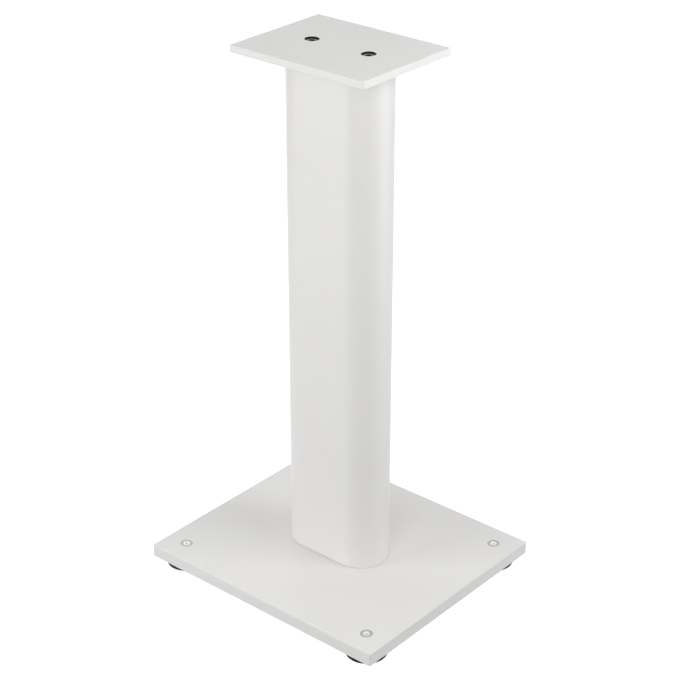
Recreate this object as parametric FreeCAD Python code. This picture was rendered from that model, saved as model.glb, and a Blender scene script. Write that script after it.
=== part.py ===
import FreeCAD, Part

import math
import os

# Speaker stand: a top plate on a two-shell aluminium column, a board base and four
# levelling feet that are turned from above with a hex key.
# Millimetres, +Z up, front towards -Y, origin on the floor below the column's centre.

# ---------------------------------------------------------------- driving dimensions

BASE_WIDTH = 280.0
BASE_DEPTH = 320.0
BASE_THICKNESS = 15.0
BASE_CORNER_RADIUS = 1.5

TOP_WIDTH = 135.0
TOP_DEPTH = 174.0
TOP_THICKNESS = 8.0
TOP_CORNER_RADIUS = 1.0

PLATE_ARRIS = 0.5            # small bevel along every long edge of both plates

COLUMN_WIDTH = 64.0          # the ends are full half rounds of this width
COLUMN_DEPTH = 125.0
COLUMN_LENGTH = 579.0

FOOT_HEIGHT = 8.0            # floor to the underside of the base, feet screwed right in
FOOT_INSET = 27.0            # foot axis to the two nearest edges of the base
FOOT_TRAVEL = 8.0            # how far a foot can be screwed out

BOLT_OFFSET = 37.0           # column bolts stand this far in front of and behind the centre

# column section
WALL = 2.5
WEB = 2.5
SEAM_BEVEL = 0.3
RAIL_WIDTH = 5.4             # thickened edge along the seam
RAIL_HEIGHT = 8.0
RAIL_TAPER = 3.0
TONGUE_WIDTH = 1.6
TONGUE_HEIGHT = 3.0
TONGUE_BEVEL = 0.3
TONGUE_PLAY = 0.1            # between the tongue and each wall of its groove
BOSS_RADIUS = 7.5
BOSS_CORE_RADIUS = 3.4
TAPPED_DEPTH = 25.0
COLUMN_END_BEVEL = 0.4

# metric 8 mm fasteners, threads drawn as plain cylinders at their outer diameter
THREAD_RADIUS = 4.0
THREAD_PLAY = 0.05
BOLT_CLEARANCE_RADIUS = 4.5
BOLT_HEAD_RADIUS = 6.5
BOLT_KEY = 5.0               # hex key, across flats
BOLT_TIP_BEVEL = 0.8
BOLT_HEAD_BEVEL = 0.5
TOP_BOLT_HEAD = 3.8
BASE_BOLT_HEAD = 5.0
BOLT_GRIP = 20.0             # thread inside the column

# black cups that line the bolt recesses of the top plate
CUP_RADIUS = 7.7
CUP_WALL = 0.8
CUP_FLOOR = 0.5
CUP_SINK = 0.1               # rim below the plate's face
CUP_FIT = 0.05
RECESS_DEPTH = 6.0

# bolt pockets under the base
WASHER_RADIUS = 12.0
WASHER_THICKNESS = 2.0
WASHER_HOLE_RADIUS = 4.3
POCKET_RADIUS = 13.0

# threaded inserts in the base
INSERT_RADIUS = 6.0
INSERT_FLANGE_RADIUS = 6.9
INSERT_FLANGE = 1.6
INSERT_FIT = 0.05
INSERT_SINK = 0.15           # flange face below the base's face
INSERT_MOUTH = 0.7           # countersink at the thread's mouth

# levelling studs
STUD_SINK = 0.3              # end of the stud below the base's face
STUD_KEY = 3.0
STUD_KEY_DEPTH = 3.0
STUD_END_BEVEL = 0.6
STUD_HEAD_RADIUS = 9.0
STUD_HEAD = 3.0
STUD_HEAD_BEVEL = 0.4

# foot pads and their rubber soles
PAD_RADIUS = 23.0
PAD_DRAFT = 0.5              # the pad is this much slimmer at its upper rim
PAD_ROUND = 1.2              # its upper edge is rounded off in two flats of this height
PAD_SOFTENING = 0.3
PAD_LOWER_BEVEL = 0.3
PAD_SHOULDER = 0.5           # the raised middle stands this far above the rim
PAD_SHOULDER_RADIUS = 11.0
SOLE_RADIUS = 22.6
SOLE_THICKNESS = 2.0
SOLE_BEVEL = 0.4
HEAD_PLAY = 0.3              # around the stud's head inside the pad
HEAD_FLOAT = 0.1             # above and below it

# levels
BASE_BOTTOM = FOOT_HEIGHT
BASE_TOP = BASE_BOTTOM + BASE_THICKNESS
COLUMN_TOP = BASE_TOP + COLUMN_LENGTH
TOP_FACE = COLUMN_TOP + TOP_THICKNESS

UP = FreeCAD.Vector(0, 0, 1)

FOOT_X = BASE_WIDTH / 2 - FOOT_INSET
FOOT_Y = BASE_DEPTH / 2 - FOOT_INSET
CORNERS = {
    "front_left": (-FOOT_X, -FOOT_Y),
    "front_right": (FOOT_X, -FOOT_Y),
    "rear_left": (-FOOT_X, FOOT_Y),
    "rear_right": (FOOT_X, FOOT_Y),
}
BOLT_SIDES = {"front": -BOLT_OFFSET, "rear": BOLT_OFFSET}


# ---------------------------------------------------------------- helpers

def at(x, y, z=0.0):
    return FreeCAD.Vector(x, y, z)


def line(a, b):
    return Part.LineSegment(a, b).toShape()


def arc(a, middle, b):
    return Part.Arc(a, middle, b).toShape()


def cylinder(radius, z_low, z_high, x=0.0, y=0.0):
    return Part.makeCylinder(radius, z_high - z_low, at(x, y, z_low), UP)


def turned(profile):
    """Solid of revolution about Z from a closed (radius, z) outline."""
    points = [at(r, 0, z) for r, z in profile]
    face = Part.Face(Part.makePolygon(points + points[:1]))
    return face.revolve(at(0, 0), UP, 360)


def hexagon(across_flats, z_low, z_high):
    """Hexagonal prism about Z, as a key fills its socket."""
    corner = across_flats / math.sqrt(3)
    points = []
    for i in range(6):
        angle = math.radians(60 * i)
        points.append(at(corner * math.cos(angle), corner * math.sin(angle), z_low))
    face = Part.Face(Part.makePolygon(points + points[:1]))
    return face.extrude(at(0, 0, z_high - z_low))


def placed(shape, x, y):
    moved = shape.copy()
    moved.translate(at(x, y))
    return moved


def save(name, shape):
    shape = shape.removeSplitter()
    shape.exportStep(f"parts/{name}.step")
    print(f"{name:28s} {shape.Volume / 1000:9.2f} cm3  valid {shape.isValid()}")


# ---------------------------------------------------------------- plates

def plate(width, depth, z_low, z_high, corner_radius):
    """Board with rounded corners and a small arris all round both faces."""
    board = Part.makeBox(width, depth, z_high - z_low, at(-width / 2, -depth / 2, z_low))
    upright = [e for e in board.Edges if abs(e.tangentAt(0).z) > 0.9]
    board = board.makeFillet(corner_radius, upright)
    rims = [e for e in board.Edges if e.BoundBox.ZLength < 1e-6]
    return board.makeChamfer(PLATE_ARRIS, rims)


def top_plate():
    shape = plate(TOP_WIDTH, TOP_DEPTH, COLUMN_TOP, TOP_FACE, TOP_CORNER_RADIUS)
    for y in BOLT_SIDES.values():
        recess = cylinder(CUP_RADIUS + CUP_FIT, TOP_FACE - RECESS_DEPTH, TOP_FACE, 0, y)
        hole = cylinder(BOLT_CLEARANCE_RADIUS, COLUMN_TOP, TOP_FACE, 0, y)
        shape = shape.cut(recess).cut(hole)
    return shape


def base_plate():
    shape = plate(BASE_WIDTH, BASE_DEPTH, BASE_BOTTOM, BASE_TOP, BASE_CORNER_RADIUS)
    for y in BOLT_SIDES.values():
        pocket_top = BASE_BOTTOM + BASE_BOLT_HEAD + WASHER_THICKNESS
        pocket = cylinder(POCKET_RADIUS, BASE_BOTTOM, pocket_top, 0, y)
        hole = cylinder(BOLT_CLEARANCE_RADIUS, BASE_BOTTOM, BASE_TOP, 0, y)
        shape = shape.cut(pocket).cut(hole)
    for x, y in CORNERS.values():
        hole = cylinder(INSERT_RADIUS + INSERT_FIT, BASE_BOTTOM, BASE_TOP, x, y)
        seat_low = BASE_TOP - INSERT_SINK - INSERT_FLANGE
        seat = cylinder(INSERT_FLANGE_RADIUS + INSERT_FIT, seat_low, BASE_TOP, x, y)
        shape = shape.cut(hole).cut(seat)
    return shape


# ---------------------------------------------------------------- column

def column_section():
    """Section of the front shell. One side of the seam carries a tongue and the other
    a groove, so the same section turned half round closes the column."""
    outer = COLUMN_WIDTH / 2
    inner = outer - WALL
    nose = -(COLUMN_DEPTH / 2 - outer)
    rail = outer - RAIL_WIDTH
    tongue = outer - RAIL_WIDTH / 2
    half_tongue = TONGUE_WIDTH / 2
    half_groove = half_tongue + TONGUE_PLAY
    groove_floor = -TONGUE_HEIGHT - 2 * TONGUE_PLAY

    web_inside = -BOLT_OFFSET + WEB / 2
    web_outside = -BOLT_OFFSET - WEB / 2
    boss_side = math.sqrt(BOSS_RADIUS ** 2 - (WEB / 2) ** 2)
    reach_inside = math.sqrt(inner ** 2 - (web_inside - nose) ** 2)
    reach_outside = math.sqrt(inner ** 2 - (web_outside - nose) ** 2)
    half_turn = math.asin((nose - web_inside) / inner) / 2
    inner_side = at(inner * math.cos(half_turn), nose - inner * math.sin(half_turn))
    inner_other_side = at(-inner_side.x, inner_side.y)

    right_seam = [
        at(outer, nose),
        at(outer, -SEAM_BEVEL),
        at(outer - SEAM_BEVEL, 0),
        at(tongue + half_tongue, 0),
        at(tongue + half_tongue, TONGUE_HEIGHT - TONGUE_BEVEL),
        at(tongue + half_tongue - TONGUE_BEVEL, TONGUE_HEIGHT),
        at(tongue - half_tongue + TONGUE_BEVEL, TONGUE_HEIGHT),
        at(tongue - half_tongue, TONGUE_HEIGHT - TONGUE_BEVEL),
        at(tongue - half_tongue, 0),
        at(rail, 0),
        at(rail, -RAIL_HEIGHT),
        at(inner, -RAIL_HEIGHT - RAIL_TAPER),
        at(inner, nose),
    ]
    left_seam = [
        at(-inner, nose),
        at(-inner, -RAIL_HEIGHT - RAIL_TAPER),
        at(-rail, -RAIL_HEIGHT),
        at(-rail, 0),
        at(-tongue + half_groove, 0),
        at(-tongue + half_groove, groove_floor),
        at(-tongue - half_groove, groove_floor),
        at(-tongue - half_groove, 0),
        at(-outer + SEAM_BEVEL, 0),
        at(-outer, -SEAM_BEVEL),
        at(-outer, nose),
    ]
    edges = [line(a, b) for a, b in zip(right_seam, right_seam[1:])]
    edges.append(arc(at(inner, nose), inner_side, at(reach_inside, web_inside)))
    edges.append(line(at(reach_inside, web_inside), at(boss_side, web_inside)))
    boss_crown = at(0, -BOLT_OFFSET + BOSS_RADIUS)
    edges.append(arc(at(boss_side, web_inside), boss_crown, at(-boss_side, web_inside)))
    edges.append(line(at(-boss_side, web_inside), at(-reach_inside, web_inside)))
    edges.append(arc(at(-reach_inside, web_inside), inner_other_side, at(-inner, nose)))
    edges += [line(a, b) for a, b in zip(left_seam, left_seam[1:])]
    edges.append(arc(at(-outer, nose), at(0, nose - outer), at(outer, nose)))
    outline = Part.Wire(edges)

    boss_foot = at(0, -BOLT_OFFSET - BOSS_RADIUS)
    chamber = Part.Wire([
        arc(at(-reach_outside, web_outside), at(0, nose - inner), at(reach_outside, web_outside)),
        line(at(reach_outside, web_outside), at(boss_side, web_outside)),
        arc(at(boss_side, web_outside), boss_foot, at(-boss_side, web_outside)),
        line(at(-boss_side, web_outside), at(-reach_outside, web_outside)),
    ])
    core = Part.Wire([Part.makeCircle(BOSS_CORE_RADIUS, at(0, -BOLT_OFFSET))])
    return Part.Face(outline).cut(Part.Face(chamber)).cut(Part.Face(core))


def on_outer_contour(edge):
    """True for an edge of the column's cut ends that lies on its outside."""
    if edge.BoundBox.ZLength > 1e-6:
        return False
    middle = edge.valueAt((edge.FirstParameter + edge.LastParameter) / 2)
    flat = COLUMN_DEPTH / 2 - COLUMN_WIDTH / 2
    beyond = max(abs(middle.y) - flat, 0.0)
    return abs(math.hypot(middle.x, beyond) - COLUMN_WIDTH / 2) < 1e-4


def front_shell():
    bar = column_section().extrude(at(0, 0, COLUMN_LENGTH))
    bar.translate(at(0, 0, BASE_TOP))
    if bar.ShapeType == "Compound":
        bar = bar.Solids[0]
    tap = THREAD_RADIUS + THREAD_PLAY
    low = cylinder(tap, BASE_TOP, BASE_TOP + TAPPED_DEPTH, 0, -BOLT_OFFSET)
    high = cylinder(tap, COLUMN_TOP - TAPPED_DEPTH, COLUMN_TOP, 0, -BOLT_OFFSET)
    bar = bar.cut(low).cut(high)
    rims = [e for e in bar.Edges if on_outer_contour(e)]
    return bar.makeChamfer(COLUMN_END_BEVEL, rims)


def rear_shell(front):
    shape = front.copy()
    shape.rotate(at(0, 0), UP, 180)
    return shape


# ---------------------------------------------------------------- fasteners

def bolt(head_height, length):
    """Low-head socket bolt, head up, with its seat under the head at z = 0."""
    body = turned([
        (0, -length),
        (THREAD_RADIUS - BOLT_TIP_BEVEL, -length),
        (THREAD_RADIUS, -length + BOLT_TIP_BEVEL),
        (THREAD_RADIUS, 0),
        (BOLT_HEAD_RADIUS, 0),
        (BOLT_HEAD_RADIUS, head_height - BOLT_HEAD_BEVEL),
        (BOLT_HEAD_RADIUS - BOLT_HEAD_BEVEL, head_height),
        (0, head_height),
    ])
    return body.cut(hexagon(BOLT_KEY, head_height * 0.35, head_height))


def top_bolt(y):
    seat = TOP_FACE - RECESS_DEPTH + CUP_FLOOR
    shape = bolt(TOP_BOLT_HEAD, seat - COLUMN_TOP + BOLT_GRIP)
    shape.translate(at(0, y, seat))
    return shape


def bolt_cup(y):
    low = TOP_FACE - RECESS_DEPTH
    inner = CUP_RADIUS - CUP_WALL
    shape = turned([
        (BOLT_CLEARANCE_RADIUS, low),
        (CUP_RADIUS, low),
        (CUP_RADIUS, TOP_FACE - CUP_SINK),
        (inner, TOP_FACE - CUP_SINK),
        (inner, low + CUP_FLOOR),
        (BOLT_CLEARANCE_RADIUS, low + CUP_FLOOR),
    ])
    return placed(shape, 0, y)


def base_bolt(y):
    seat = BASE_BOTTOM + BASE_BOLT_HEAD
    shape = bolt(BASE_BOLT_HEAD, BASE_TOP - seat + BOLT_GRIP)
    shape.rotate(at(0, 0), at(1, 0), 180)
    shape.translate(at(0, y, seat))
    return shape


def base_washer(y):
    low = BASE_BOTTOM + BASE_BOLT_HEAD
    disc = cylinder(WASHER_RADIUS, low, low + WASHER_THICKNESS, 0, y)
    return disc.cut(cylinder(WASHER_HOLE_RADIUS, low, low + WASHER_THICKNESS, 0, y))


# ---------------------------------------------------------------- levelling feet

def foot_insert(x, y):
    """Flanged threaded bush pressed into the base from above."""
    face = BASE_TOP - INSERT_SINK
    bore = THREAD_RADIUS + THREAD_PLAY
    shape = turned([
        (bore, BASE_BOTTOM),
        (INSERT_RADIUS, BASE_BOTTOM),
        (INSERT_RADIUS, face - INSERT_FLANGE),
        (INSERT_FLANGE_RADIUS, face - INSERT_FLANGE),
        (INSERT_FLANGE_RADIUS, face),
        (bore + INSERT_MOUTH, face),
        (bore, face - INSERT_MOUTH),
    ])
    return placed(shape, x, y)


def levelling_stud(x, y):
    """Threaded stud with a hex socket in its upper end and a round head inside the pad."""
    end = BASE_TOP - STUD_SINK
    head_low = SOLE_THICKNESS + HEAD_FLOAT
    head_high = head_low + STUD_HEAD
    shape = turned([
        (0, head_low),
        (STUD_HEAD_RADIUS - STUD_HEAD_BEVEL, head_low),
        (STUD_HEAD_RADIUS, head_low + STUD_HEAD_BEVEL),
        (STUD_HEAD_RADIUS, head_high - STUD_HEAD_BEVEL),
        (STUD_HEAD_RADIUS - STUD_HEAD_BEVEL, head_high),
        (THREAD_RADIUS, head_high),
        (THREAD_RADIUS, end - STUD_END_BEVEL),
        (THREAD_RADIUS - STUD_END_BEVEL, end),
        (0, end),
    ])
    socket = hexagon(STUD_KEY, end - STUD_KEY_DEPTH, end)
    return placed(shape.cut(socket), x, y)


def foot_pad(x, y):
    """Moulded round pad: drafted side, softened upper edge, a raised middle that seats on
    the base and a pocket for the stud's head, which the sole closes from beneath."""
    low = SOLE_THICKNESS
    rim = FOOT_HEIGHT - PAD_SHOULDER
    pocket_radius = STUD_HEAD_RADIUS + HEAD_PLAY
    pocket_top = low + STUD_HEAD + 2 * HEAD_FLOAT
    neck = THREAD_RADIUS + 2 * THREAD_PLAY
    upper = PAD_RADIUS - PAD_DRAFT
    softening = PAD_SOFTENING * PAD_ROUND
    shape = turned([
        (upper - PAD_ROUND, rim),
        (PAD_SHOULDER_RADIUS + PAD_SHOULDER, rim),
        (PAD_SHOULDER_RADIUS, FOOT_HEIGHT),
        (neck, FOOT_HEIGHT),
        (neck, pocket_top),
        (pocket_radius, pocket_top),
        (pocket_radius, low),
        (PAD_RADIUS - PAD_LOWER_BEVEL, low),
        (PAD_RADIUS, low + PAD_LOWER_BEVEL),
        (upper, rim - PAD_ROUND),
        (upper - softening, rim - softening),
    ])
    return placed(shape, x, y)


def foot_sole(x, y):
    shape = turned([
        (0, 0),
        (SOLE_RADIUS - SOLE_BEVEL, 0),
        (SOLE_RADIUS, SOLE_BEVEL),
        (SOLE_RADIUS, SOLE_THICKNESS),
        (0, SOLE_THICKNESS),
    ])
    return placed(shape, x, y)


# ---------------------------------------------------------------- build

def main():
    os.makedirs("parts", exist_ok=True)
    front = front_shell()
    save("top_plate", top_plate())
    save("base_plate", base_plate())
    save("front_column_shell", front)
    save("rear_column_shell", rear_shell(front))
    for side, y in BOLT_SIDES.items():
        save(f"top_bolt_{side}", top_bolt(y))
        save(f"bolt_cup_{side}", bolt_cup(y))
        save(f"base_bolt_{side}", base_bolt(y))
        save(f"base_washer_{side}", base_washer(y))
    for corner, (x, y) in CORNERS.items():
        save(f"foot_insert_{corner}", foot_insert(x, y))
        save(f"levelling_stud_{corner}", levelling_stud(x, y))
        save(f"foot_pad_{corner}", foot_pad(x, y))
        save(f"foot_sole_{corner}", foot_sole(x, y))


main()
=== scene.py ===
import math

import bmesh
import bpy
from mathutils import Matrix, Vector

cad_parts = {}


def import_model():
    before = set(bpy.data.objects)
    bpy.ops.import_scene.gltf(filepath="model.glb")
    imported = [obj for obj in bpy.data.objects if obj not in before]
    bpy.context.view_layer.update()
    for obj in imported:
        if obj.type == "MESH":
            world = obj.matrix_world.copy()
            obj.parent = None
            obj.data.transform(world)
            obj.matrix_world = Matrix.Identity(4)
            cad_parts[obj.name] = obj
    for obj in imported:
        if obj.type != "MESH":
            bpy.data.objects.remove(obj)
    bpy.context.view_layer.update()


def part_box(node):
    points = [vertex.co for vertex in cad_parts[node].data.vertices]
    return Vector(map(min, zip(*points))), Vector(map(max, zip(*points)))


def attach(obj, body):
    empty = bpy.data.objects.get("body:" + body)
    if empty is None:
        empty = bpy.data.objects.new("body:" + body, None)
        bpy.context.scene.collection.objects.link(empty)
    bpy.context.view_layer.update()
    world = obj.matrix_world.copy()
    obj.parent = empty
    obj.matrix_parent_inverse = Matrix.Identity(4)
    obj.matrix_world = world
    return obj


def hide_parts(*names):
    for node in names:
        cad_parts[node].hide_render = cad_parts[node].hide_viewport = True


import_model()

MM = 0.001
ON_AXIS = 1e-6               # a radius below this, millimetres, is a point on the axis
LEVEL = 1e-6                 # an edge whose ends differ by less than this, metres, is level
SAME_POINT = 1e-7            # points closer than this, metres, are one
HAIR = 0.01                  # millimetres, too little to see

# ---------------------------------------------------------------- camera and stage

AZIMUTH = math.radians(-49.57)
ELEVATION = math.radians(27.05)
AIM = Vector((0.0, 0.0, 0.2823))
DISTANCE = 1.9822
FOCAL_PIXELS = 1846.0
IMAGE_PIXELS = 680.0
SENSOR_MM = 36.0

FLOOR_SIZE = 30.0
FLOOR_LEVEL = -0.008         # the feet's lowest reach, so that no pose sinks into it
FLOOR_ALBEDO = 0.42          # what the floor throws back at the stand
FLOOR_SHADOW = 0.5           # share of the floor's look that takes the stand's shadow
WORLD_STRENGTH = 0.163       # what the surroundings throw at the stand

LAMP_AIM = Vector((0.0, 0.0, 0.35))
LAMPS = (                    # name, azimuth in degrees, away, height and side in metres, watts
    ("top", 0, 0, 2.2, 1.2, 4.6),
    ("back", 180, 1.9, 1.9, 1.4, 4.9),
    ("back_low", 150, 1.0, 0.5, 0.7, 1.2),
    ("left_high", -120, 1.1, 1.2, 0.7, 2.7),
    ("left_low", -120, 1.1, 0.3, 0.7, 4.5),
    ("left_front", -60, 1.1, 0.7, 0.7, 4.5),
    ("right_low", 30, 1.1, 0.3, 0.7, 3.3),
    ("right_near", 15, 0.7, 0.9, 0.5, 3.1),
    ("right_high", 90, 1.0, 2.0, 1.0, 3.3),
)

# ---------------------------------------------------------------- the stand, millimetres

WHITE = (0.805, 0.798, 0.785)
WHITE_SHADE = (0.790, 0.783, 0.770)    # the darker end of the paint's faint clouding

PLATE_ARRIS = 0.6
BASE_CORNER = 1.1
TOP_CORNER = 0.7
RIM_EASE = 0.25              # the paint's soft edge round each hole
RIM_TURN = 1.0               # radians; a level edge that turns by more than this is a rim

WALL = 2.5
SEAM_BEVEL = 0.12
RAIL_WIDTH = 5.4
RAIL_HEIGHT = 8.0
RAIL_TAPER = 3.0
TONGUE_WIDTH = 1.6
TONGUE_HEIGHT = 3.0
TONGUE_BEVEL = 0.3
TONGUE_PLAY = 0.1
BOSS_RADIUS = 7.5
CORE_RADIUS = 3.4
SHADOW_GAP_DEPTH = 0.8       # the column's ends draw in, so a fine dark line shows there
SHADOW_GAP_HEIGHT = 0.5
SHADOW_GAP_EASE = 0.15

THREAD_PITCH = 1.25
THREAD_RADIUS = 4.0
THREAD_DEPTH = 0.62
THREAD_FLANK = 1.4           # with this slope and cut, crest and root are flat for a
THREAD_CUT = 0.2             # seventh of the pitch each
BORE_RADIUS = 4.05
BOLT_CLEARANCE = 4.5
BOLT_HEAD_RADIUS = 6.5
BOLT_KEY = 5.0
BOLT_TIP_BEVEL = 0.8
BOLT_SOCKET_SHARE = 0.6      # of the head's height
WASHER_HOLE = 4.3

SOCKET_MOUTH_DEPTH = 0.45
SOCKET_MOUTH_FOOT = 0.35     # the countersink starts this far inside the hexagon's corners
SOCKET_MOUTH_LIP = 0.25      # and ends this far outside them
SOCKET_DRILL_SHARE = 0.98    # of the key's width across flats
SOCKET_DRILL_TIP = 0.9
OVERLAP = 0.1                # the mouth's cutter reaches this far past the face,
DRILL_OVERLAP = 0.5          # the drill's this far into the hexagon
REACH = 1.0                  # and the other cutters this far past what they open

CUP_RADIUS = 7.7
CUP_WALL = 0.8
CUP_FLOOR = 0.5
RECESS_DEPTH = 6.0
POCKET_RADIUS = 13.0
POCKET_DEPTH = 7.0
INSERT_RADIUS = 6.0
INSERT_MOUTH = 0.3
FLANGE_RADIUS = 6.9
FLANGE_THICKNESS = 1.6
SEAT_DEPTH = 1.75
FIT = 0.05

STUD_HEAD = 3.0
STUD_HEAD_EASE = 0.4
STUD_HEAD_SOFTENING = 0.12
STUD_END_EASE = 0.15
STUD_KEY = 3.0
STUD_KEY_DEPTH = 3.0

PAD_NECK_RADIUS = 4.1
PAD_POCKET_RADIUS = 9.3
PAD_POCKET_DEPTH = 3.2
PAD_DRAFT = 0.5              # the pad is this much slimmer at its upper rim
PAD_SHOULDER = 0.5           # its middle stands this far above the rim
PAD_SHOULDER_RADIUS = 11.0

SOLE_BEVEL = 0.2
TREAD_GROOVES = (17.0, 13.0, 9.0, 5.0)
GROOVE_DEPTH = 0.6
GROOVE_HALF_MOUTH = 0.8
GROOVE_HALF_FLOOR = 0.4


# ---------------------------------------------------------------- mesh helpers

def link(name, mesh):
    obj = bpy.data.objects.new(name, mesh)
    bpy.context.scene.collection.objects.link(obj)
    return obj


def object_from(bm, name):
    bmesh.ops.recalc_face_normals(bm, faces=bm.faces)
    mesh = bpy.data.meshes.new(name)
    bm.to_mesh(mesh)
    bm.free()
    return link(name, mesh)


def ring_of(bm, radii, z):
    """Ring of points about Z, one for each radius, millimetres."""
    ring = []
    for i, radius in enumerate(radii):
        angle = math.tau * i / len(radii)
        ring.append(bm.verts.new((radius * MM * math.cos(angle),
                                  radius * MM * math.sin(angle), z * MM)))
    return ring


def walls(bm, rings):
    """Quads from each ring to the next."""
    for a, b in zip(rings, rings[1:]):
        for i in range(len(a)):
            j = (i + 1) % len(a)
            bm.faces.new((a[i], a[j], b[j], b[i]))


def smooth(obj, degrees):
    """Rounds the shading over shallow edges and keeps flat faces flat."""
    mesh = obj.data
    mesh.polygons.foreach_set("use_smooth", [True] * len(mesh.polygons))
    mesh.set_sharp_from_angle(angle=math.radians(degrees))
    weighted = obj.modifiers.new("weighted normals", "WEIGHTED_NORMAL")
    weighted.keep_sharp = True
    weighted.weight = 100


def turned(name, profile, segments=96):
    """Closed solid of revolution about Z from (radius, z) points in millimetres. A profile
    that starts and ends on the axis is a full solid, and any other is a ring."""
    bm = bmesh.new()
    rings = []
    for radius, z in profile:
        if radius < ON_AXIS:
            rings.append([bm.verts.new((0.0, 0.0, z * MM))])
        else:
            rings.append(ring_of(bm, [radius] * segments, z))
    full = len(rings[0]) == 1 and len(rings[-1]) == 1
    pairs = list(zip(rings, rings[1:]))
    if not full:
        pairs.append((rings[-1], rings[0]))
    for low, high in pairs:
        if len(low) == 1 or len(high) == 1:
            for i in range(max(len(low), len(high))):
                j = (i + 1) % segments
                if len(low) == 1:
                    bm.faces.new((low[0], high[i], high[j]))
                else:
                    bm.faces.new((low[i], low[j], high[0]))
        else:
            walls(bm, (low, high))
    return object_from(bm, name)


def rounded(corner, before, after, radius, steps):
    """Points of an arc that rounds off one corner of a (radius, z) outline."""
    c, a, b = Vector(corner), Vector(before), Vector(after)
    u, v = (a - c).normalized(), (b - c).normalized()
    half = u.angle(v) / 2
    start = c + u * (radius / math.tan(half))
    end = c + v * (radius / math.tan(half))
    centre = c + (u + v).normalized() * (radius / math.sin(half))
    first, last = start - centre, end - centre
    sweep = first.angle_signed(last)
    points = []
    for i in range(steps + 1):
        turn = Matrix.Rotation(-sweep * i / steps, 2)
        points.append(tuple(centre + turn @ first))
    return points


def softened(outline, radii, steps=5):
    """Closed (radius, z) outline with the corners numbered in radii rounded off."""
    points = []
    count = len(outline)
    for i, corner in enumerate(outline):
        if i in radii:
            before, after = outline[i - 1], outline[(i + 1) % count]
            points += rounded(corner, before, after, radii[i], steps)
        else:
            points.append(corner)
    return points


def prism(name, across_flats, z_low, z_high):
    """Hexagonal prism about Z, millimetres."""
    bm = bmesh.new()
    corner = across_flats / math.sqrt(3)
    low, high = (ring_of(bm, [corner] * 6, z) for z in (z_low, z_high))
    bm.faces.new(low)
    bm.faces.new(high)
    walls(bm, (low, high))
    return object_from(bm, name)


def carve(obj, cutters):
    """Takes the cutters out of the object and deletes them."""
    for cutter in cutters:
        cut = obj.modifiers.new("cut", "BOOLEAN")
        cut.operation = "DIFFERENCE"
        cut.solver = "EXACT"
        cut.object = cutter
    bpy.context.view_layer.update()
    evaluated = obj.evaluated_get(bpy.context.evaluated_depsgraph_get())
    mesh = bpy.data.meshes.new_from_object(evaluated)
    obj.modifiers.clear()
    bm = bmesh.new()
    bm.from_mesh(mesh)
    bmesh.ops.dissolve_degenerate(bm, dist=SAME_POINT, edges=bm.edges)
    bm.to_mesh(mesh)
    bm.free()
    obj.data = mesh
    for cutter in cutters:
        bpy.data.objects.remove(cutter)


def levels(node):
    """Lowest and highest level of a node, millimetres."""
    low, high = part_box(node)
    return low.z / MM, high.z / MM


def radius_of(node):
    low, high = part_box(node)
    return (high.x - low.x) / 2 / MM


def centre_of(node):
    low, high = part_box(node)
    return (low.x + high.x) / 2 / MM, (low.y + high.y) / 2 / MM


def settle(obj, node, body, material, x=0.0, y=0.0, angle=40.0):
    """Finishes a piece: shading, place (millimetres), material and body."""
    smooth(obj, angle)
    obj.location = (x * MM, y * MM, 0.0)
    obj.data.materials.clear()
    obj.data.materials.append(material)
    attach(obj, body)
    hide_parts(node)


# ---------------------------------------------------------------- materials

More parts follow.
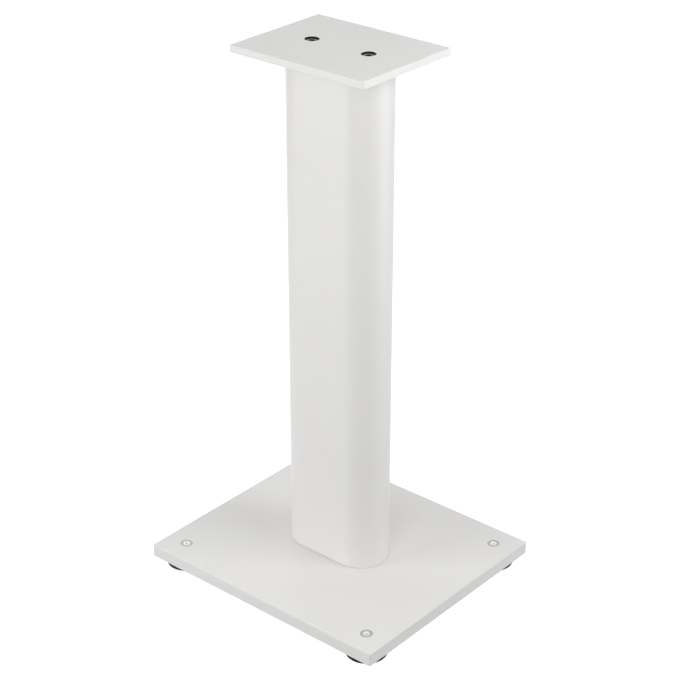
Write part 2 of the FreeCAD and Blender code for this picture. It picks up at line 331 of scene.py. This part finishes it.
class Shader:
    """Small helper round one material's nodes. Scales are in cells per metre."""

    def __init__(self, name):
        self.material = bpy.data.materials.new(name)
        self.material.use_nodes = True
        self.nodes = self.material.node_tree.nodes
        self.links = self.material.node_tree.links
        self.surface = self.nodes["Principled BSDF"]
        self.place = self.nodes.new("ShaderNodeTexCoord").outputs["Object"]

    def set(self, socket, value):
        self.surface.inputs[socket].default_value = value

    def scaled(self, x, y, z):
        node = self.nodes.new("ShaderNodeMapping")
        node.inputs["Scale"].default_value = (x, y, z)
        self.links.new(self.place, node.inputs["Vector"])
        return node.outputs["Vector"]

    def reach(self):
        """Distance from the Z axis, metres."""
        node = self.nodes.new("ShaderNodeVectorMath")
        node.operation = "LENGTH"
        self.links.new(self.scaled(1, 1, 0), node.inputs[0])
        return node.outputs["Value"]

    def noise(self, scale, detail, stretch=(1, 1, 1)):
        node = self.nodes.new("ShaderNodeTexNoise")
        node.inputs["Scale"].default_value = scale
        node.inputs["Detail"].default_value = detail
        self.links.new(self.scaled(*stretch), node.inputs["Vector"])
        return node.outputs["Fac"]

    def rings(self, scale):
        """Fine rings about Z, as a lathe tool leaves them."""
        node = self.nodes.new("ShaderNodeTexNoise")
        node.noise_dimensions = "1D"
        node.inputs["Scale"].default_value = scale
        node.inputs["Detail"].default_value = 3.0
        self.links.new(self.reach(), node.inputs["W"])
        return node.outputs["Fac"]

    def spread(self, value, low, high):
        """Stretches a noise, which lies mostly between 0.3 and 0.7, from low to high."""
        node = self.nodes.new("ShaderNodeMapRange")
        node.inputs["To Min"].default_value = low
        node.inputs["To Max"].default_value = high
        node.inputs["From Min"].default_value = 0.3
        node.inputs["From Max"].default_value = 0.7
        self.links.new(value, node.inputs["Value"])
        return node.outputs["Result"]

    def mix(self, dark, light):
        """Mix node between two colours, left for its factor or colours to be linked."""
        node = self.nodes.new("ShaderNodeMix")
        node.data_type = "RGBA"
        node.inputs["A"].default_value = (*dark, 1)
        node.inputs["B"].default_value = (*light, 1)
        return node

    def tint(self, value, dark, light):
        node = self.mix(dark, light)
        self.links.new(self.spread(value, 0, 1), node.inputs["Factor"])
        self.links.new(node.outputs["Result"], self.surface.inputs["Base Color"])

    def core(self, radius, share):
        """Scales the colour within a radius of the Z axis, metres: paints light (share above 1)
        or shade (share below 1) into the inside of a socket.
        """
        beyond = self.nodes.new("ShaderNodeMath")
        beyond.operation = "GREATER_THAN"
        beyond.inputs[1].default_value = radius
        self.links.new(self.reach(), beyond.inputs[0])
        scale = self.mix((share, share, share), (1, 1, 1))
        self.links.new(beyond.outputs[0], scale.inputs["Factor"])
        product = self.mix((1, 1, 1), (1, 1, 1))
        product.blend_type = "MULTIPLY"
        product.inputs["Factor"].default_value = 1.0
        colour = self.surface.inputs["Base Color"]
        self.links.new(colour.links[0].from_socket, product.inputs["A"])
        self.links.new(scale.outputs["Result"], product.inputs["B"])
        self.links.new(product.outputs["Result"], colour)

    def roughness(self, value, low, high):
        self.links.new(self.spread(value, low, high), self.surface.inputs["Roughness"])

    def bump(self, *layers):
        """Stacks (height, strength, distance in millimetres) bump layers."""
        normal = None
        for height, strength, distance in layers:
            node = self.nodes.new("ShaderNodeBump")
            node.inputs["Strength"].default_value = strength
            node.inputs["Distance"].default_value = distance * MM
            self.links.new(height, node.inputs["Height"])
            if normal:
                self.links.new(normal, node.inputs["Normal"])
            normal = node.outputs["Normal"]
        self.links.new(normal, self.surface.inputs["Normal"])


def paint(name, peel, streaks=False):
    """Satin lacquer: faint clouding, orange peel and a fine grain, and on an extrusion
    the faint upright streaks of its die."""
    s = Shader(name)
    s.tint(s.noise(9, 3), WHITE_SHADE, WHITE)
    s.roughness(s.noise(60, 3), 0.40, 0.46)
    layers = [(s.noise(650, 2), peel, 0.05), (s.noise(3200, 1), 0.25, 0.008)]
    if streaks:
        layers.append((s.noise(900, 2, stretch=(1, 1, 0.01)), 0.05, 0.01))
    s.bump(*layers)
    return s.material


def zinc():
    s = Shader("zinc plated steel")
    s.set("Metallic", 0.5)
    s.tint(s.noise(500, 3), (0.40, 0.40, 0.388), (0.46, 0.46, 0.447))
    s.roughness(s.noise(900, 2), 0.50, 0.58)
    s.bump((s.rings(9000), 0.2, 0.02))
    return s.material


def bright_steel():
    """The studs' turned ends; the inside of the key socket is painted a little lighter, painted
    light against the shade in it.
    """
    s = Shader("bright steel")
    s.set("Metallic", 1.0)
    s.tint(s.noise(700, 3), (0.63, 0.63, 0.617), (0.67, 0.67, 0.657))
    # painted light: the key socket's inside is lightened against its shade
    s.core(0.0018, 1.25)
    s.roughness(s.noise(900, 2), 0.55, 0.65)
    s.bump((s.rings(12000), 0.2, 0.015))
    return s.material


def black_oxide():
    """The bolts; the inside of the key socket is painted almost black, painted shade."""
    s = Shader("black oxide steel")
    s.set("Metallic", 1.0)
    s.tint(s.noise(600, 3), (0.21, 0.209, 0.201), (0.29, 0.287, 0.277))
    # painted shade: the key socket's inside is darkened almost to black
    s.core(0.003, 0.04)
    s.roughness(s.noise(1200, 2), 0.36, 0.50)
    s.bump((s.rings(8000), 0.3, 0.02), (s.noise(5000, 2), 0.2, 0.01))
    return s.material


def black_plastic():
    s = Shader("black moulded plastic")
    s.set("Specular IOR Level", 0.2)
    s.tint(s.noise(80, 3), (0.007, 0.007, 0.0069), (0.011, 0.0108, 0.0105))
    s.roughness(s.noise(300, 2), 0.42, 0.55)
    s.bump((s.noise(2600, 3), 0.5, 0.03))
    return s.material


def rubber():
    s = Shader("black rubber")
    s.set("Specular IOR Level", 0.25)
    s.tint(s.noise(60, 3), (0.009, 0.009, 0.009), (0.015, 0.0147, 0.0143))
    s.roughness(s.noise(400, 2), 0.72, 0.88)
    s.bump((s.noise(1800, 3), 0.5, 0.05))
    return s.material


# ---------------------------------------------------------------- plates

def board(name, node, corner):
    """Flat board with rounded corners and softly rounded edges."""
    low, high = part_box(node)
    bm = bmesh.new()
    bmesh.ops.create_cube(bm, size=1.0)
    size, middle = high - low, (high + low) / 2
    bmesh.ops.scale(bm, vec=size, verts=bm.verts)
    bmesh.ops.translate(bm, vec=middle, verts=bm.verts)
    upright = [e for e in bm.edges if abs((e.verts[0].co - e.verts[1].co).z) > size.z / 2]
    bmesh.ops.bevel(bm, geom=upright, offset=corner * MM, segments=6, profile=0.5,
                    affect="EDGES")
    rims = [e for e in bm.edges if abs(e.verts[0].co.z - e.verts[1].co.z) < LEVEL
            and abs(e.calc_face_angle(0)) > RIM_TURN]
    bmesh.ops.bevel(bm, geom=rims, offset=PLATE_ARRIS * MM, segments=4, profile=0.5,
                    affect="EDGES")
    return object_from(bm, name)


def bore(x, y, face, sign, radius, depth, narrow, far):
    """Cutter for a round pocket with an eased rim and a narrower hole from its bottom to
    the far face; sign is +1 for a pocket that opens upwards. Millimetres."""
    bottom = face - sign * depth
    cutter = turned("bore cutter", [
        (0, far - sign * REACH),
        (narrow, far - sign * REACH),
        (narrow, bottom),
        (radius, bottom),
        (radius, face - sign * RIM_EASE),
        (radius + 3 * RIM_EASE, face + sign * 2 * RIM_EASE),
        (0, face + sign * 2 * RIM_EASE),
    ])
    cutter.location = (x * MM, y * MM, 0.0)
    return cutter


def top_plate(bolts, material):
    under, face = levels("top_plate")
    obj = board("top_plate_painted", "top_plate", TOP_CORNER)
    carve(obj, [bore(0, y, face, 1, CUP_RADIUS + FIT, RECESS_DEPTH, BOLT_CLEARANCE, under)
                for y in bolts.values()])
    settle(obj, "top_plate", "stand", material)


def base_plate(bolts, feet, material):
    under, face = levels("base_plate")
    obj = board("base_plate_painted", "base_plate", BASE_CORNER)
    cutters = [bore(0, y, under, -1, POCKET_RADIUS, POCKET_DEPTH, BOLT_CLEARANCE, face)
               for y in bolts.values()]
    cutters += [bore(x, y, face, 1, FLANGE_RADIUS + FIT, SEAT_DEPTH, INSERT_RADIUS + FIT, under)
                for x, y in feet.values()]
    carve(obj, cutters)
    settle(obj, "base_plate", "stand", material)


# ---------------------------------------------------------------- column

def bow(centre, radius, start, end, steps):
    """Points of an arc, angles in degrees, both ends included."""
    points = []
    for i in range(steps + 1):
        angle = math.radians(start + (end - start) * i / steps)
        points.append((centre[0] + radius * math.cos(angle),
                       centre[1] + radius * math.sin(angle)))
    return points


def shell_section(half_width, half_depth, bolt_y):
    """Outline, chamber and core of the front shell in millimetres, with how each point of
    the outline moves to draw in by one millimetre at the column's ends."""
    outer, inner = half_width, half_width - WALL
    nose = -(half_depth - outer)
    rail = outer - RAIL_WIDTH
    tongue = outer - RAIL_WIDTH / 2
    half_tongue = TONGUE_WIDTH / 2
    half_groove = half_tongue + TONGUE_PLAY
    groove_floor = -TONGUE_HEIGHT - 2 * TONGUE_PLAY
    web_in, web_out = -bolt_y + WALL / 2, -bolt_y - WALL / 2
    wall_turn = math.degrees(math.asin((nose - web_in) / inner))
    chamber_turn = math.degrees(math.asin((nose - web_out) / inner))
    boss_turn = math.degrees(math.asin(WALL / 2 / BOSS_RADIUS))

    skin = bow((0, nose), outer, 180, 360, 96)
    tongue_seam = [
        (outer, -SEAM_BEVEL), (outer - SEAM_BEVEL, 0),
        (tongue + half_tongue, 0),
        (tongue + half_tongue, TONGUE_HEIGHT - TONGUE_BEVEL),
        (tongue + half_tongue - TONGUE_BEVEL, TONGUE_HEIGHT),
        (tongue - half_tongue + TONGUE_BEVEL, TONGUE_HEIGHT),
        (tongue - half_tongue, TONGUE_HEIGHT - TONGUE_BEVEL),
        (tongue - half_tongue, 0),
        (rail, 0), (rail, -RAIL_HEIGHT), (inner, -RAIL_HEIGHT - RAIL_TAPER),
    ]
    inside = bow((0, nose), inner, 0, -wall_turn, 4)
    inside += bow((0, -bolt_y), BOSS_RADIUS, boss_turn, 180 - boss_turn, 24)
    inside += bow((0, nose), inner, 180 + wall_turn, 180, 4)
    groove_seam = [
        (-inner, -RAIL_HEIGHT - RAIL_TAPER), (-rail, -RAIL_HEIGHT), (-rail, 0),
        (-tongue + half_groove, 0), (-tongue + half_groove, groove_floor),
        (-tongue - half_groove, groove_floor), (-tongue - half_groove, 0),
        (-outer + SEAM_BEVEL, 0), (-outer, -SEAM_BEVEL),
    ]
    outline = skin + tongue_seam + inside + groove_seam
    drawn = []
    for x, y in outline:
        beyond = min(y - nose, 0.0)
        reach = math.hypot(x, beyond)
        on_skin = abs(reach - outer) < HAIR
        drawn.append((-x / reach, -beyond / reach) if on_skin else (0.0, 0.0))
    chamber = bow((0, nose), inner, 180 + chamber_turn, 360 - chamber_turn, 48)
    chamber += bow((0, -bolt_y), BOSS_RADIUS, -boss_turn, -180 + boss_turn, 24)
    core = bow((0, -bolt_y), CORE_RADIUS, 0, 360, 32)[:-1]
    return outline, drawn, chamber, core


def shell(name, node, turn, material, bolt_y):
    """One half of the column; turn is 1, or -1 for the half that is turned half round."""
    low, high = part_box(node)
    half_width = (high.x - low.x) / 2 / MM
    half_depth = max(abs(low.y), abs(high.y)) / MM
    z_low, z_high = levels(node)
    outline, drawn, chamber, core = shell_section(half_width, half_depth, bolt_y)
    gap, depth, ease = SHADOW_GAP_HEIGHT, SHADOW_GAP_DEPTH, SHADOW_GAP_EASE
    steps = [
        (z_low, depth), (z_low + gap, depth), (z_low + gap, ease), (z_low + gap + ease, 0),
        (z_high - gap - ease, 0), (z_high - gap, ease), (z_high - gap, depth), (z_high, depth),
    ]
    bm = bmesh.new()

    def ring(points, moves, inset, z):
        made = []
        for (x, y), (dx, dy) in zip(points, moves):
            x, y = x + dx * inset, y + dy * inset
            made.append(bm.verts.new((turn * x * MM, turn * y * MM, z * MM)))
        return made

    surfaces = [[ring(outline, drawn, inset, z) for z, inset in steps]]
    for loop in (chamber, core):
        still = [(0.0, 0.0)] * len(loop)
        surfaces.append([ring(loop, still, 0.0, z) for z in (z_low, z_high)])
    for rings in surfaces:
        walls(bm, rings)
    for end in (0, -1):
        edges = []
        for rings in surfaces:
            loop = rings[end]
            for i, v in enumerate(loop):
                edges.append(bm.edges.get((v, loop[(i + 1) % len(loop)])))
        bmesh.ops.triangle_fill(bm, edges=edges, use_beauty=True)
    bmesh.ops.remove_doubles(bm, verts=bm.verts, dist=SAME_POINT)
    obj = object_from(bm, name)
    settle(obj, node, "stand", material, angle=25.0)


# ---------------------------------------------------------------- fasteners

def socket(head_top, key, depth):
    """Cutters for a hex socket with a drilled bottom and a countersunk mouth."""
    corner = key / math.sqrt(3)
    drill = key / 2 * SOCKET_DRILL_SHARE
    floor_level = head_top - depth
    mouth = turned("mouth cutter", [
        (0, head_top - SOCKET_MOUTH_DEPTH),
        (corner - SOCKET_MOUTH_FOOT, head_top - SOCKET_MOUTH_DEPTH),
        (corner + SOCKET_MOUTH_LIP, head_top + OVERLAP),
        (0, head_top + OVERLAP),
    ])
    tip = turned("drill cutter", [
        (0, floor_level - SOCKET_DRILL_TIP),
        (drill, floor_level),
        (drill, floor_level + DRILL_OVERLAP),
        (0, floor_level + DRILL_OVERLAP),
    ])
    return [prism("key cutter", key, floor_level, head_top + REACH), mouth, tip]


def bolt(node, seat, head, length, upwards, material, y):
    """Low-head socket bolt; seat is the level under its head, in millimetres."""
    outline = softened([
        (0, -length), (THREAD_RADIUS - BOLT_TIP_BEVEL, -length),
        (THREAD_RADIUS, -length + BOLT_TIP_BEVEL), (THREAD_RADIUS, 0),
        (BOLT_HEAD_RADIUS, 0), (BOLT_HEAD_RADIUS, head), (0, head),
    ], {4: 0.2, 5: 0.5})
    obj = turned(f"{node}_socket_head", outline)
    carve(obj, socket(head, BOLT_KEY, head * BOLT_SOCKET_SHARE))
    if not upwards:
        obj.data.transform(Matrix.Rotation(math.pi, 4, "X"))
    obj.data.transform(Matrix.Translation((0, 0, seat * MM)))
    settle(obj, node, "stand", material, 0, y, angle=30.0)


def top_fasteners(bolts, black_steel, plastic):
    for side, y in bolts.items():
        cup = f"bolt_cup_{side}"
        bottom, rim = levels(cup)
        tip, head_top = levels(f"top_bolt_{side}")
        seat = bottom + CUP_FLOOR
        bolt(f"top_bolt_{side}", seat, head_top - seat, seat - tip, True, black_steel, y)
        outline = softened([
            (BOLT_CLEARANCE, bottom), (CUP_RADIUS, bottom), (CUP_RADIUS, rim),
            (CUP_RADIUS - CUP_WALL, rim), (CUP_RADIUS - CUP_WALL, bottom + CUP_FLOOR),
            (BOLT_CLEARANCE, bottom + CUP_FLOOR),
        ], {2: 0.2, 3: 0.3})
        settle(turned(f"{cup}_moulded", outline), cup, "stand", plastic, 0, y)


def base_fasteners(bolts, black_steel, zinc_steel):
    for side, y in bolts.items():
        washer = f"base_washer_{side}"
        seat, top = levels(washer)
        head_low, tip = levels(f"base_bolt_{side}")
        bolt(f"base_bolt_{side}", seat, seat - head_low, tip - seat, False, black_steel, y)
        radius = radius_of(washer)
        outline = softened([
            (WASHER_HOLE, seat), (radius, seat), (radius, top), (WASHER_HOLE, top),
        ], {0: 0.2, 1: 0.4, 2: 0.2, 3: 0.2})
        settle(turned(f"{washer}_stamped", outline), washer, "stand",
               zinc_steel, 0, y)


# ---------------------------------------------------------------- levelling feet

def threaded(name, z_low, z_high, lower):
    """Stud with a right-hand helical thread, which runs out at both its ends. lower is the
    stud's plain outline below z_low. Millimetres."""
    columns, rows_per_turn = 48, 8
    length = z_high - z_low
    rows = int(length / THREAD_PITCH * rows_per_turn)
    bm = bmesh.new()
    rings = [ring_of(bm, [radius] * columns, z) for radius, z in lower]
    for row in range(rows + 1):
        z = z_low + length * row / rows
        room = min(z_high - z + THREAD_RADIUS - STUD_END_EASE, THREAD_RADIUS)
        runs = min((z - z_low) / THREAD_PITCH, (z_high - z) / THREAD_PITCH, 1.0)
        radii = []
        for i in range(columns):
            phase = (z - z_low) / THREAD_PITCH - i / columns
            slope = abs(2 * (phase % 1.0) - 1)
            crest = min(max(THREAD_FLANK * slope - THREAD_CUT, 0.0), 1.0)
            radii.append(min(THREAD_RADIUS - THREAD_DEPTH * crest * runs, room))
        rings.append(ring_of(bm, radii, z))
    walls(bm, rings)
    bm.faces.new(rings[0])
    bm.faces.new(rings[-1])
    return object_from(bm, name)


def stud(corner, x, y, material):
    node = f"levelling_stud_{corner}"
    bottom, end = levels(node)
    radius = radius_of(node)
    head_top = bottom + STUD_HEAD
    ease, softening = STUD_HEAD_EASE, STUD_HEAD_SOFTENING
    lower = [
        (radius - ease, bottom), (radius - softening, bottom + softening),
        (radius, bottom + ease), (radius, head_top - ease),
        (radius - softening, head_top - softening), (radius - ease, head_top),
        (THREAD_RADIUS + HAIR, head_top),
    ]
    obj = threaded(f"{node}_threaded", head_top, end, lower)
    carve(obj, socket(end, STUD_KEY, STUD_KEY_DEPTH))
    settle(obj, node, f"stud_{corner}", material, x, y, angle=32.0)


def insert(corner, x, y, material):
    """Flanged bush with a lightly countersunk bore."""
    node = f"foot_insert_{corner}"
    bottom, face = levels(node)
    outline = softened([
        (BORE_RADIUS, bottom), (INSERT_RADIUS, bottom),
        (INSERT_RADIUS, face - FLANGE_THICKNESS), (FLANGE_RADIUS, face - FLANGE_THICKNESS),
        (FLANGE_RADIUS, face), (BORE_RADIUS + INSERT_MOUTH, face),
        (BORE_RADIUS, face - INSERT_MOUTH),
    ], {4: 0.2, 5: 0.12})
    settle(turned(f"{node}_turned", outline), node, "stand", material, x, y)


def pad(corner, x, y, material):
    """Round moulded pad: drafted side, raised middle, pocket for the stud's head."""
    node = f"foot_pad_{corner}"
    bottom, top = levels(node)
    radius = radius_of(node)
    rim = top - PAD_SHOULDER
    pocket_top = bottom + PAD_POCKET_DEPTH
    outline = softened([
        (PAD_NECK_RADIUS, top), (PAD_NECK_RADIUS, pocket_top),
        (PAD_POCKET_RADIUS, pocket_top), (PAD_POCKET_RADIUS, bottom),
        (radius, bottom), (radius - PAD_DRAFT, rim),
        (PAD_SHOULDER_RADIUS + PAD_SHOULDER, rim), (PAD_SHOULDER_RADIUS, top),
    ], {4: 0.15, 5: 0.8, 7: 0.2}, steps=6)
    obj = turned(f"{node}_moulded", outline, segments=128)
    settle(obj, node, f"foot_{corner}", material, x, y, angle=35.0)


def sole(corner, x, y, material):
    """Rubber disc with shallow round grooves in its tread."""
    node = f"foot_sole_{corner}"
    bottom, top = levels(node)
    radius = radius_of(node)
    outline = [(0, top), (radius, top), (radius, bottom + SOLE_BEVEL),
               (radius - SOLE_BEVEL, bottom)]
    for groove in TREAD_GROOVES:
        outline += [(groove + GROOVE_HALF_MOUTH, bottom),
                    (groove + GROOVE_HALF_FLOOR, bottom + GROOVE_DEPTH),
                    (groove - GROOVE_HALF_FLOOR, bottom + GROOVE_DEPTH),
                    (groove - GROOVE_HALF_MOUTH, bottom)]
    outline.append((0, bottom))
    obj = turned(f"{node}_rubber", outline)
    settle(obj, node, f"foot_{corner}", material, x, y, angle=35.0)


# ---------------------------------------------------------------- stage

def camera():
    back = Vector((math.sin(AZIMUTH) * math.cos(ELEVATION),
                   -math.cos(AZIMUTH) * math.cos(ELEVATION),
                   math.sin(ELEVATION)))
    data = bpy.data.cameras.new("camera")
    data.sensor_width = SENSOR_MM
    data.lens = FOCAL_PIXELS * SENSOR_MM / IMAGE_PIXELS
    cam = bpy.data.objects.new("camera", data)
    cam.location = AIM + back * DISTANCE
    cam.rotation_mode = "QUATERNION"
    cam.rotation_quaternion = (-back).to_track_quat("-Z", "Y")
    bpy.context.scene.collection.objects.link(cam)
    bpy.context.scene.camera = cam


def seen(nodes, links):
    """1 for rays that look at the surroundings straight, in a mirror or through glass."""
    path = nodes.new("ShaderNodeLightPath")
    value = path.outputs["Is Camera Ray"]
    for kind in ("Is Glossy Ray", "Is Transmission Ray"):
        either = nodes.new("ShaderNodeMath")
        either.operation = "MAXIMUM"
        links.new(value, either.inputs[0])
        links.new(path.outputs[kind], either.inputs[1])
        value = either.outputs[0]
    return value


def grey(level):
    return level, level, level, 1


def floor():
    """White floor that keeps a faint shadow of the stand and is clear from beneath."""
    bm = bmesh.new()
    bmesh.ops.create_grid(bm, x_segments=1, y_segments=1, size=FLOOR_SIZE / 2)
    bmesh.ops.translate(bm, vec=(0, 0, FLOOR_LEVEL), verts=bm.verts)
    obj = object_from(bm, "floor")
    material = bpy.data.materials.new("floor")
    material.use_nodes = True
    nodes, links = material.node_tree.nodes, material.node_tree.links
    nodes.clear()
    bounce = nodes.new("ShaderNodeBsdfDiffuse")
    bounce.inputs["Color"].default_value = grey(FLOOR_ALBEDO)
    shadow = nodes.new("ShaderNodeBsdfDiffuse")
    shadow.inputs["Color"].default_value = grey(FLOOR_SHADOW)
    glow = nodes.new("ShaderNodeEmission")
    glow.inputs["Strength"].default_value = 1.0 - FLOOR_SHADOW * WORLD_STRENGTH
    look = nodes.new("ShaderNodeAddShader")
    links.new(shadow.outputs[0], look.inputs[0])
    links.new(glow.outputs[0], look.inputs[1])
    upper = nodes.new("ShaderNodeMixShader")
    links.new(seen(nodes, links), upper.inputs[0])
    links.new(bounce.outputs[0], upper.inputs[1])
    links.new(look.outputs[0], upper.inputs[2])
    clear = nodes.new("ShaderNodeBsdfTransparent")
    side = nodes.new("ShaderNodeNewGeometry")
    both = nodes.new("ShaderNodeMixShader")
    links.new(side.outputs["Backfacing"], both.inputs[0])
    links.new(upper.outputs[0], both.inputs[1])
    links.new(clear.outputs[0], both.inputs[2])
    out = nodes.new("ShaderNodeOutputMaterial")
    links.new(both.outputs[0], out.inputs["Surface"])
    obj.data.materials.append(material)


def world():
    """White to look at, and a weaker even light on the stand."""
    made = bpy.data.worlds.new("world")
    bpy.context.scene.world = made
    made.use_nodes = True
    nodes, links = made.node_tree.nodes, made.node_tree.links
    light = nodes["Background"]
    light.inputs["Color"].default_value = grey(1)
    light.inputs["Strength"].default_value = WORLD_STRENGTH
    white = nodes.new("ShaderNodeBackground")
    white.inputs["Color"].default_value = grey(1)
    mix = nodes.new("ShaderNodeMixShader")
    links.new(seen(nodes, links), mix.inputs[0])
    links.new(light.outputs[0], mix.inputs[1])
    links.new(white.outputs[0], mix.inputs[2])
    links.new(mix.outputs[0], nodes["World Output"].inputs["Surface"])


def softbox(name, azimuth, away, height, side, power):
    """Square lamp that faces the stand; it lights and reflects, but isn't itself in view."""
    a = math.radians(azimuth)
    place = Vector((math.sin(a) * away, -math.cos(a) * away, height))
    data = bpy.data.lights.new(name, "AREA")
    data.shape = "SQUARE"
    data.size = side
    data.energy = power
    lamp = bpy.data.objects.new(name, data)
    lamp.location = place
    lamp.rotation_mode = "QUATERNION"
    lamp.rotation_quaternion = (LAMP_AIM - place).to_track_quat("-Z", "Y")
    lamp.visible_camera = False
    bpy.context.scene.collection.objects.link(lamp)


# ---------------------------------------------------------------- the whole

def stand():
    corners = ("front_left", "front_right", "rear_left", "rear_right")
    feet = {corner: centre_of(f"levelling_stud_{corner}") for corner in corners}
    bolts = {side: centre_of(f"top_bolt_{side}")[1] for side in ("front", "rear")}

    plate_paint = paint("white paint on steel", 0.20)
    column_paint = paint("white paint on aluminium", 0.15, streaks=True)
    board_paint = paint("white lacquer on board", 0.30)
    zinc_steel, steel = zinc(), bright_steel()
    black_steel, plastic, sole_rubber = black_oxide(), black_plastic(), rubber()

    top_plate(bolts, plate_paint)
    base_plate(bolts, feet, board_paint)
    shell("front_column_shell_painted", "front_column_shell", 1, column_paint, bolts["rear"])
    shell("rear_column_shell_painted", "rear_column_shell", -1, column_paint, bolts["rear"])
    top_fasteners(bolts, black_steel, plastic)
    base_fasteners(bolts, black_steel, zinc_steel)
    for corner, (x, y) in feet.items():
        stud(corner, x, y, steel)
        insert(corner, x, y, zinc_steel)
        pad(corner, x, y, plastic)
        sole(corner, x, y, sole_rubber)


camera()
floor()
world()
for lamp in LAMPS:
    softbox(*lamp)
stand()

bpy.context.scene.view_settings.view_transform = "Standard"
